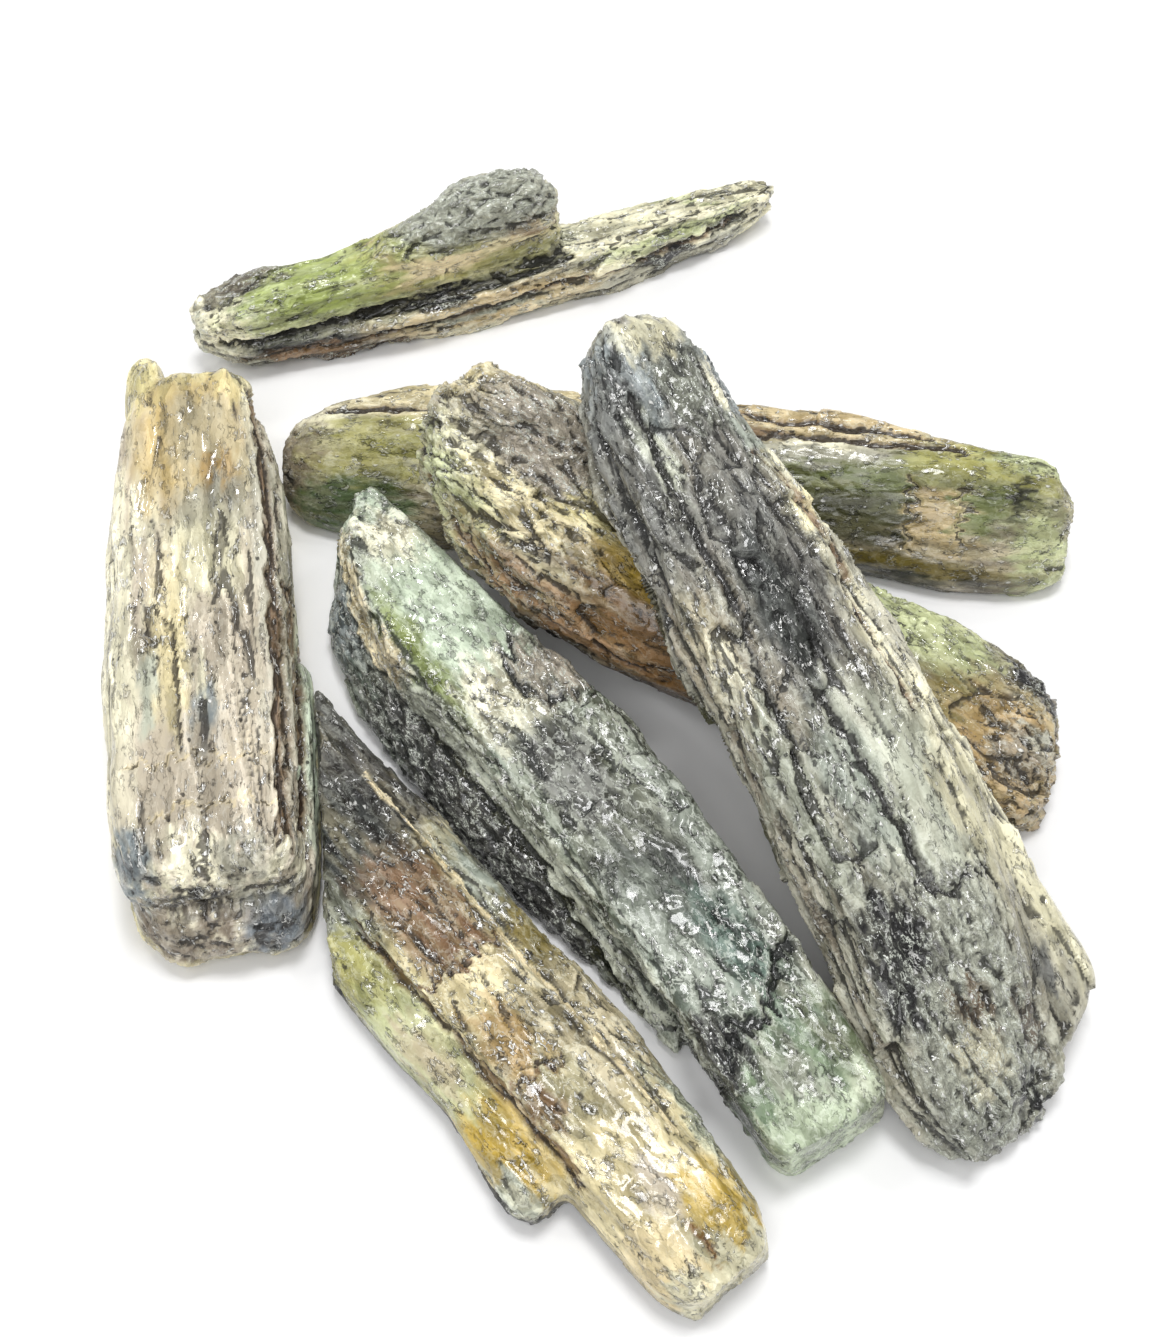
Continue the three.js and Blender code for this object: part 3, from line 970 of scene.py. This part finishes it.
# %% [markdown]
# ## Where the patterns are read
#
# Object coordinates are turned and centred on the blade, so a pattern stretched along the first of
# them follows the grain. Then a noise pushes them about a little, because nothing in a broken stone
# runs straight.

# %% The blade's coordinates
DRIFT = 1.3


def blade_place(start, name):
    """The blade's own millimetres, pushed about a little."""
    _, zero, _ = blade_frame(name)
    heading, tip = (math.radians(angle) for angle in HEADINGS[name])
    own = {
        "Vector": start.node("ShaderNodeTexCoord", {}, {}, 3),
        "Location": tuple(zero * MM),
        "Rotation": (0, tip, heading),
        "Scale": (MM, MM, MM),
    }
    place = start.node("ShaderNodeMapping", {"vector_type": "TEXTURE"}, own)
    drift = place.stretched((2.4, 1.6, 1.6)).noise(3, 0.6, output=1)
    drift = start.node("ShaderNodeVectorMath", {"operation": "SCALE"}, {0: drift, "Scale": DRIFT})
    return place.moved(drift)


print("patterns are pushed by up to", DRIFT, "mm")


# %% [markdown]
# ## Marks
#
# Every mark is a noise read at its own size in millimetres. A smooth step on it makes patches, and
# a thin line where it passes a level makes curls and veins, which no random dots would give. Long
# marks are stretched by the stone's own grain.

# %% Marks on a stone
def marked(loose, long, strokes, threads):
    """All the marks of one stone, most of them from 0 to 1."""
    cloud = loose.moved((3, 9, 4)).stretched((3.4 * long, 2, 2)).noise(6, 0.62)
    thread = loose.stretched((3 * long, 0.5, 0.45)).noise(3, 0.6)
    lean, lucky = flakes(loose, (1.9 * long, 1.1, 1.1))
    curl = loose.stretched((0.9 * long, 0.55, 0.55)).noise(2, 0.5)
    hook = loose.stretched((1.8, 1.2, 1.2)).noise(3, 0.6)
    net = loose.stretched((2.2, 1.5, 1.5)).noise(3, 0.6)
    # The pale curl is a painted glint drawn into the colour.
    glint_stroke = line(curl, 0.58, 0.045) * hook.ramp(0.53, 0.6) * strokes
    return SimpleNamespace(
        broad=loose.stretched((5 * long, 3, 3)).noise(2, 0.5),
        clear=cloud.ramp(0.52, 0.45),
        frosted=cloud.ramp(0.49, 0.56),
        thread=thread,
        fibre=thread.ramp(0.56, 0.66) * threads,
        split=line(thread, 0.4, 0.03) * hook.ramp(0.46, 0.54),
        lean=lean,
        luck=loose.node("ShaderNodeSeparateColor", {}, {0: lucky}),
        curl=curl,
        # white holds the painted glints: the pale curls and the small white specks.
        white=loose.maths("MAXIMUM", glint_stroke, dots(loose, (1.0, 0.5, 0.5), 0.34, 0.07)),
        # The dark curl just beside each pale one is its painted shadow.
        glint_shadow_stroke=line(curl, 0.5, 0.06) * hook.ramp(0.54, 0.6) * strokes,
        vein=line(net, 0.5, 0.035),
        pit=dots(loose.moved((7, 3, 5)), (1.4, 1.0, 1.0), 0.24, 0.12),
        crinkle=loose.stretched((1.5, 0.8, 0.8)).noise(4, 0.65),
    )


# %% [markdown]
# ## Colour
#
# A stone that light enters looks deeper where it is clear and pale where it is frosted. Real
# refraction would be slow and hard to steer, so the patch's own colour `tint` is mixed from four
# versions of itself: as it is, glassy and dark, a pale lit copy, and a nearly black shaded copy.
# The pale copy gives frost, veins and paler zones, and painted highlight on crests and raised
# fibres. The black copy gives thin splits, and painted shade in the hollows, between the fibres and
# beside each pale curl, whose white is a painted glint. Mica is different: black leaves with a
# painted glint along each fold.

# %% Colour of a stone
# The colour of the painted glints.
GLINT_WHITE = (0.92, 0.92, 0.88, 1)


def grey(value):
    return (value, value, value, 1)


def stone_colour(marks, tint, mica, hollow, busy, threads, web, dark):
    """The colour of the stone, with its mica and pits, painted shade and highlight, and painted
    glints.
    """
    brightness = tint.node("ShaderNodeRGBToBW", {}, {0: tint}).ramp(0.0, 0.3, 0.35, 1.0)

    glassy = marks.broad.ramp(0.54, 0.36) * 0.4 + marks.clear * web * 0.75
    glassy = glassy + marks.luck.ramp(0.6, 0.0) * 0.3
    light = marks.broad.ramp(0.48, 0.64) * 0.3 + marks.frosted * web * 0.65
    light = light + marks.luck.ramp(0.4, 1.0) * 0.2 + marks.vein * web * 0.5
    # Painted highlight: raised fibres and the crests of the relief are lightened.
    light = light + marks.fibre * 0.7 + hollow.ramp(0.56, 0.92) * 0.35
    # Painted shade: beside each pale curl, in the hollows of the relief and between the fibres. The
    # splits are thin dark cracks.
    shade = marks.glint_shadow_stroke * 0.5 + marks.split * (0.1 + 0.5 * threads)
    shade = shade + hollow.ramp(0.46, 0.1) * 0.8 + marks.thread.ramp(0.46, 0.36) * (0.8 * threads)

    glass = {"Saturation": 1.35, "Value": 0.36, "Color": tint}
    glass = tint.node("ShaderNodeHueSaturation", {}, glass)
    # deep is a shaded copy of the tint, the colour of painted shade and of the splits. pale is a lit
    # copy, the colour of painted highlight and of frost, veins and paler zones.
    deep = tint.over(rgb(dark), 0.4).over(grey(0.1), 1.0, "MULTIPLY")
    pale = tint.over(grey(1.7), 1.0, "MULTIPLY").over(grey(0.04), 1.0, "ADD")
    colour = tint.node("ShaderNodeHueSaturation", {}, {"Saturation": 1.15, "Color": tint})
    colour = colour.over(glass, glassy.ramp(0.0, 1.0, 0.0, 0.9))
    colour = colour.over(pale, light.ramp(0.0, 0.9, 0.0, 0.9))
    frosting = (marks.vein * 0.6 + marks.frosted * 0.12) * brightness * web
    colour = colour.over(rgb("frost"), frosting)
    colour = colour.over(deep, shade.ramp(0.0, 0.9, 0.0, 0.9))

    # Mica is black. The frost line along each fold is a painted glint, and its hollows get painted
    # shade.
    leaf = tint.over(rgb("soot"), marks.crinkle.ramp(0.51, 0.43) * (1.35 - brightness))
    leaf = leaf.over(rgb("frost"), line(marks.crinkle, 0.57, 0.03) * 0.8)
    leaf = leaf.over(deep, hollow.ramp(0.4, 0.0) * 0.9)
    colour = colour.over(leaf, mica)
    colour = colour.over(rgb("soot"), marks.pit * (1 - mica) * busy * 0.85)
    # The white curls and specks are laid on as painted glints.
    return colour.over(GLINT_WHITE, marks.white * (brightness * 0.5 + 0.4) * busy)


# %% [markdown]
# ## Shine and fine relief
#
# Frosted stone is rough; clear stone, fibres, the white curls of painted glint and mica shine. A
# clear coat with a changing weight gives hard glints on top of the softer sheen. The marks are also
# raised or sunk by a few hundredths of a millimetre to a few tenths, less where the stone is calm.
# Refraction and the coat's own roughness are the same all over, so they are set on the shader itself.

# %% Material
CALMING = 0.6


def kyanite(name, slot):
    """The material of one stone."""
    long, threads, web, strokes, flake, dark = FINISHES[name]
    material = bpy.data.materials.new(slot)
    material.use_nodes = True
    tree = material.node_tree
    shader = tree.nodes["Principled BSDF"]
    start = Wire(tree)
    outputs = {"tint": 0, "mica": 2, "hollow": 2, "calm": 2}
    tint, mica, hollow, calm = (
        start.node("ShaderNodeAttribute", {"attribute_name": label}, {}, output)
        for label, output in outputs.items()
    )
    busy = 1 - calm * CALMING
    threads, web, flake = (busy * share for share in (threads, web, flake))
    marks = marked(blade_place(start, name), long, strokes, threads)

    colour = stone_colour(marks, tint, mica, hollow, busy, threads, web, dark)
    rough = marks.frosted * 0.22 + 0.32 + marks.luck.ramp(0.0, 1.0, -0.06, 0.06)
    gloss = marks.clear * 0.5 + marks.fibre * 0.5 + marks.white + mica * 0.4
    height = marks.lean * flake * 2.0 + marks.thread * (0.25 * threads)
    height = height + marks.frosted * 0.05 + marks.vein * (0.05 * web) + marks.white * 0.14
    height = height - marks.glint_shadow_stroke * 0.1 - marks.split * 0.1 - marks.pit * 0.12
    height = height + marks.curl * 0.14 + marks.crinkle * mica * 0.7
    bump = start.node("ShaderNodeBump", {}, {"Height": height, "Strength": 1.0, "Distance": MM})

    tree.links.new(colour.socket, shader.inputs["Base Color"])
    tree.links.new(rough.socket, shader.inputs["Roughness"])
    tree.links.new(gloss.ramp(0.0, 0.8, 0.25, 1.0).socket, shader.inputs["Coat Weight"])
    tree.links.new(bump.socket, shader.inputs["Normal"])
    shader.inputs["IOR"].default_value = 1.4
    shader.inputs["Coat Roughness"].default_value = 0.08
    print(slot, "has", len(tree.nodes), "nodes")
    return material


# %% [markdown]
# ## The seven stones
#
# Each finished stone stands for its CAD solid, which stays behind it for weight and collision, and
# rides on the cluster's only body.

# %% Make the stones
SLOTS = {
    "tan_slab": "tan_kyanite",
    "stepped_brown_blade": "brown_kyanite",
    "centre_green_blade": "green_kyanite",
    "long_leaning_blade": "grey_kyanite",
    "propped_brown_blade": "honey_kyanite",
    "back_olive_blade": "olive_kyanite",
    "twin_mica_blade": "twin_kyanite",
}
for name, slot in SLOTS.items():
    stone = carved(name)
    stone.data.materials.clear()
    stone.data.materials.append(kyanite(name, slot))
    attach(stone, "root")
    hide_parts(name)

# %% [markdown]
# ## Sizes and the end
#
# Looks must not change the cluster's size, so both boxes are printed side by side.

# %% Sizes
seen_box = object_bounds()
boxes = {"cad": [list(corner) for corner in cad_box], "visual": [list(corner) for corner in seen_box]}
for label, (low, high) in boxes.items():
    print(label, "is", [round((b - a) / MM, 1) for a, b in zip(low, high)], "mm")
